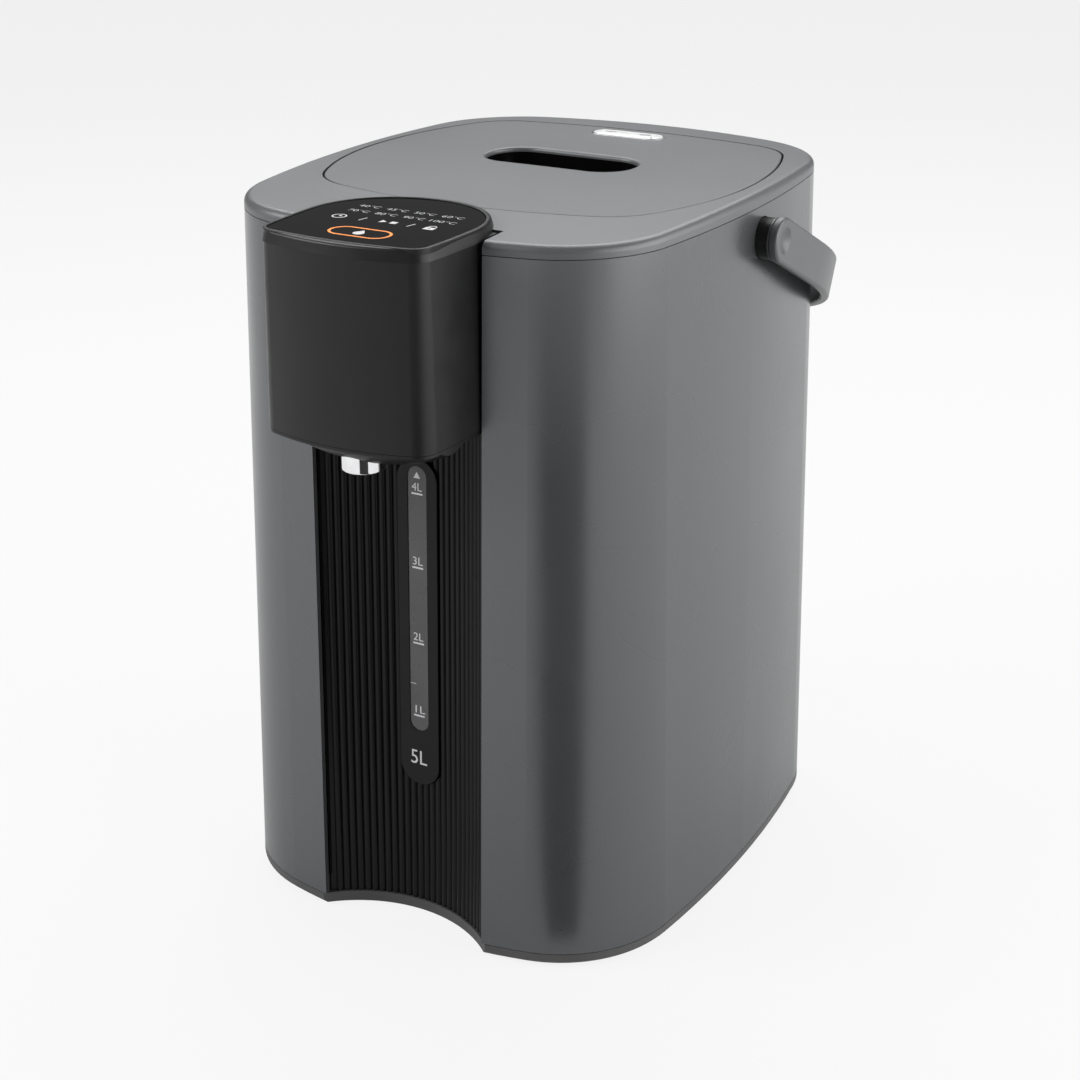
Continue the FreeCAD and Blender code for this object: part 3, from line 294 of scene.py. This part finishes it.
def flat_shape(name, outlines, material, matrix):
    """Filled mark: each outline is a list of (x, y) in millimetres, and inner ones are holes."""
    curve = bpy.data.curves.new(name, "CURVE")
    curve.dimensions = "2D"
    curve.fill_mode = "BOTH"
    for outline in outlines:
        spline = curve.splines.new("POLY")
        spline.points.add(len(outline) - 1)
        for point, (x, y) in zip(spline.points, outline):
            point.co = (x * MM, y * MM, 0, 1)
        spline.use_cyclic_u = True
    put_print(new_print(name, curve, material), matrix)


def lettering(name, text, cap_mm, width_mm, material, matrix, thin_mm=0.0):
    """Centred text with a given cap height and width; thin_mm slims its strokes."""
    curve = bpy.data.curves.new(name, "FONT")
    curve.body = text
    curve.align_x = "CENTER"
    curve.offset = -thin_mm * MM
    curve.size = cap_mm * MM / CAP_SHARE
    obj = new_print(name, curve, material)
    bpy.context.view_layer.update()
    stretch = width_mm * MM / obj.dimensions.x
    put_print(obj, matrix @ Matrix.Diagonal((stretch, 1, 1, 1)))


def circle(cx, cy, r, a0=0.0, a1=360.0, steps=32):
    """Points round a circle or an arc, from angle a0 to a1 in degrees."""
    turns = [math.radians(a0 + (a1 - a0) * i / steps) for i in range(steps + (a1 - a0 < 360))]
    return [(cx + r * math.cos(t), cy + r * math.sin(t)) for t in turns]


def stadium(half_x, half_y):
    run = half_x - half_y
    return circle(run, 0, half_y, -90, 90, 20) + circle(-run, 0, half_y, 90, 270, 20)


def bar(x0, x1, y0, y1):
    return [(x0, y0), (x1, y0), (x1, y1), (x0, y1)]


def stroke(x0, y0, x1, y1, width):
    """Straight line of a given width as a four-cornered outline."""
    along = Vector((x1 - x0, y1 - y0)).normalized() * width / 2
    side = (-along.y, along.x)
    return [(x0 + side[0], y0 + side[1]), (x0 - side[0], y0 - side[1]),
            (x1 - side[0], y1 - side[1]), (x1 + side[0], y1 + side[1])]


def on_glass(x, y):
    return Matrix.Translation(place(x, y, GLASS_TOP + GLASS_PROUD))


def on_gauge(x, z, proud):
    """Frame on the gauge's leaning face: X right, Y up, Z out to the front."""
    y = GAUGE_PLANE_Y + z * GAUGE_LEAN - proud
    return Matrix.Translation(place(x, y, z)) @ Matrix.Rotation(
        math.pi / 2 - math.atan(GAUGE_LEAN), 4, "X")


def clock_icon():
    hands = [(-0.28, -0.28), (1.5, -0.28), (1.5, 0.28), (0.28, 0.28), (0.28, 2.0), (-0.28, 2.0)]
    return [circle(0, 0, 3.1), circle(0, 0, 2.5), hands]


def padlock_icon():
    body = bar(-2.3, 2.3, -3.0, 0.4)
    arch = circle(0, 1.2, 1.8, 0, 180, 16) + [(-1.8, 0.4), (-1.2, 0.4)]
    arch += circle(0, 1.2, 1.2, 180, 0, 16)
    keyhole = circle(0, -1.3, 0.5, steps=12)
    return [body, keyhole, arch]


def start_stop_icon():
    return [[(-3.6, -1.9), (-0.8, 0), (-3.6, 1.9)], bar(1.0, 3.8, -1.5, 1.5)]


def drop_icon():
    return [[(0.0, 3.6)] + circle(0, -0.6, 2.3, 160, 380, 28)]


def slash():
    return [stroke(-0.5, -2.4, 0.5, 2.4, 0.5)]


def print_temperatures(white):
    """Two rows of four temperatures at the back of the touch glass."""
    left_x, pitch, cap, thin = -18.6, 12.9, 3.1, 0.07
    for y, row in ((-107.7, (40, 45, 50, 60)), (-116.0, (70, 80, 90, 100))):
        for column, degrees in enumerate(row):
            width = 9.6 if degrees < 100 else 11.6
            lettering(f"Print_Temp_{degrees}", f"{degrees}°C", cap, width, white,
                      on_glass(left_x + pitch * column, y), thin)


def print_control_glass(white, amber):
    print_temperatures(white)
    flat_shape("Print_Clock", clock_icon(), white, on_glass(-20.6, -125.4))
    flat_shape("Print_Slash_Left", slash(), white, on_glass(-9.6, -125.4))
    flat_shape("Print_Start_Stop", start_stop_icon(), white, on_glass(2.0, -124.9))
    flat_shape("Print_Slash_Right", slash(), white, on_glass(12.4, -125.0))
    flat_shape("Print_Padlock", padlock_icon(), white, on_glass(21.4, -124.9))
    flat_shape("Print_Dispense_Ring", [stadium(13.6, 6.5), stadium(12.5, 5.4)], amber,
               on_glass(1.5, -144.0))
    flat_shape("Print_Drop", drop_icon(), white, on_glass(1.5, -144.4))


def print_gauge(white, faint):
    """Litre marks on the window, and the pot's volume on the plate below it."""
    for litres, z in ((1, 98.6), (2, 133.3), (3, 168.5), (4, 202.0)):
        lettering(f"Print_Level_{litres}", f"{litres}L", 3.7, 5.0, white,
                  on_gauge(-0.2, z + 1.3, WINDOW_PROUD))
        flat_shape(f"Print_Line_{litres}", [bar(-2.8, 2.6, -0.4, 0.4)], white,
                   on_gauge(0, z, WINDOW_PROUD))
    flat_shape("Print_Full_Mark", [[(-1.7, -1.3), (1.7, -1.3), (0, 1.6)]], white,
               on_gauge(-0.1, 210.2, WINDOW_PROUD))
    flat_shape("Print_Low_Tick", [bar(-4.3, -1.6, -0.2, 0.2)], faint,
               on_gauge(0, 113.8, WINDOW_PROUD))
    lettering("Print_Volume", "5L", 7.0, 8.2, white, on_gauge(-0.5, 75.0, PLATE_PROUD))


# Studio

def make_camera():
    camera = bpy.data.cameras.new("Camera")
    camera.lens = CAMERA_LENS
    camera.sensor_width = CAMERA_SENSOR
    camera.sensor_fit = "HORIZONTAL"
    camera.clip_start, camera.clip_end = 0.05, 30.0
    obj = bpy.data.objects.new("Camera", camera)
    bpy.context.scene.collection.objects.link(obj)
    turn = Matrix((CAMERA_RIGHT, CAMERA_UP, CAMERA_BACK)).transposed().to_4x4()
    obj.matrix_world = Matrix.Translation(place(*CAMERA_PLACE)) @ turn
    bpy.context.scene.camera = obj


def softbox(name, location, target, size_x, size_y, power):
    light = bpy.data.lights.new(name, "AREA")
    light.shape = "RECTANGLE"
    light.size, light.size_y = size_x, size_y
    light.energy = power
    obj = bpy.data.objects.new(name, light)
    bpy.context.scene.collection.objects.link(obj)
    obj.location = location
    aim = Vector(target) - Vector(location)
    obj.rotation_euler = aim.to_track_quat("-Z", "Y").to_euler()
    obj.visible_camera = False


def backdrop_share(tree, camera, glossy):
    """How much of the plain backdrop a ray sees: all of it straight on, less in a reflection."""
    path = tree.nodes.new("ShaderNodeLightPath")
    total = None
    rays = (("Is Camera Ray", camera), ("Is Glossy Ray", glossy), ("Is Transmission Ray", camera))
    for ray, share in rays:
        part = tree.nodes.new("ShaderNodeMath")
        part.operation = "MULTIPLY_ADD"
        part.use_clamp = True
        part.inputs[2].default_value = 0.0
        if isinstance(share, float):
            part.inputs[1].default_value = share
        else:
            tree.links.new(share, part.inputs[1])
        tree.links.new(path.outputs[ray], part.inputs[0])
        if total is not None:
            tree.links.new(total, part.inputs[2])
        total = part.outputs["Value"]
    return total


def fade_with_distance(tree, near, far):
    """The floor's reflection is dim beside the object, where its shadow lies, and full far off."""
    centre = tree.nodes.new("ShaderNodeTexCoord")
    reach = tree.nodes.new("ShaderNodeVectorMath")
    reach.operation = "LENGTH"
    tree.links.new(centre.outputs["Object"], reach.inputs[0])
    fade = tree.nodes.new("ShaderNodeMapRange")
    fade.inputs["From Min"].default_value, fade.inputs["From Max"].default_value = near[0], far[0]
    fade.inputs["To Min"].default_value, fade.inputs["To Max"].default_value = near[1], far[1]
    tree.links.new(reach.outputs["Value"], fade.inputs["Value"])
    return fade.outputs["Result"]


def make_world():
    """White where the camera sees it, and a dim even light on the object."""
    world = bpy.data.worlds.new("Studio")
    bpy.context.scene.world = world
    world.use_nodes = True
    nodes, links = world.node_tree.nodes, world.node_tree.links
    seen, lit = nodes["Background"], nodes.new("ShaderNodeBackground")
    seen.inputs["Color"].default_value = (1, 1, 1, 1)
    seen.inputs["Strength"].default_value = 1.0
    lit.inputs["Color"].default_value = (0.97, 0.98, 1.0, 1)
    lit.inputs["Strength"].default_value = ROOM_LIGHT
    mix = nodes.new("ShaderNodeMixShader")
    links.new(backdrop_share(world.node_tree, 1.0, REFLECTED_SKY), mix.inputs["Fac"])
    links.new(lit.outputs["Background"], mix.inputs[1])
    links.new(seen.outputs["Background"], mix.inputs[2])
    links.new(mix.outputs["Shader"], nodes["World Output"].inputs["Surface"])


def stage_quad(name, corners):
    """Flat four-cornered piece of the stage with a material of its own."""
    mesh = bpy.data.meshes.new(name)
    mesh.from_pydata([tuple(corner) for corner in corners], [], [(0, 1, 2, 3)])
    quad = bpy.data.objects.new(name, mesh)
    bpy.context.scene.collection.objects.link(quad)
    material = bpy.data.materials.new(name)
    material.use_nodes = True
    mesh.materials.append(material)
    return quad, material.node_tree


def make_floor():
    half = FLOOR_HALF
    floor, tree = stage_quad("Floor", [(-half, -half, 0), (half, -half, 0), (half, half, 0),
                                       (-half, half, 0)])
    floor.location.z = -FLOOR_DROP
    nodes, links = tree.nodes, tree.links
    shader = nodes["Principled BSDF"]
    shader.inputs["Base Color"].default_value = (*FLOOR_COLOUR, 1)
    shader.inputs["Roughness"].default_value = 0.85
    glow = nodes.new("ShaderNodeEmission")
    glow.inputs["Color"].default_value = (1, 1, 1, 1)
    mix = nodes.new("ShaderNodeMixShader")
    fade = fade_with_distance(tree, REFLECTED_FLOOR_NEAR, REFLECTED_FLOOR_FAR)
    links.new(backdrop_share(tree, FLOOR_SEEN, fade), mix.inputs["Fac"])
    links.new(shader.outputs["BSDF"], mix.inputs[1])
    links.new(glow.outputs["Emission"], mix.inputs[2])
    links.new(mix.outputs["Shader"], nodes["Material Output"].inputs["Surface"])


def make_flag():
    """Black card on the floor before the right corner: it darkens that corner's reflection."""
    turns = [math.radians(angle) for angle in FLAG_ANGLES]
    corner = Vector(FLAG_CORNER)
    rays = [Vector((math.sin(turn), -math.cos(turn), 0)) for turn in turns]
    flag, tree = stage_quad("Flag", [corner + rays[0] * FLAG_NEAR, corner + rays[0] * FLAG_FAR,
                                     corner + rays[1] * FLAG_FAR, corner + rays[1] * FLAG_NEAR])
    shader = tree.nodes["Principled BSDF"]
    shader.inputs["Base Color"].default_value = (0.01, 0.01, 0.01, 1)
    shader.inputs["Roughness"].default_value = 0.9
    flag.visible_camera = False
    flag.visible_diffuse = False
    flag.visible_shadow = False


def make_lights():
    middle = (0, 0, 0.17)
    softbox("Light_Right", (1.32, 0.3, 0.62), middle, 2.0, 1.1, 25)
    softbox("Light_Left", (-1.0, -0.95, 1.0), middle, 1.0, 0.8, 19)
    softbox("Light_Top", (-0.35, 0.75, 1.35), middle, 1.5, 1.1, 22)


def main():
    bpy.context.scene.view_settings.view_transform = "Standard"
    make_camera()
    make_world()
    make_floor()
    make_flag()
    make_lights()
    finish_nodes(make_finishes())
    white = ink("Print_White", (0.6, 0.6, 0.62), 0.1)
    grey = ink("Print_Grey", (0.5, 0.5, 0.52))
    amber = ink("Print_Amber", (0.85, 0.24, 0.015), 0.35)
    print_control_glass(white, amber)
    print_gauge(white, grey)


main()
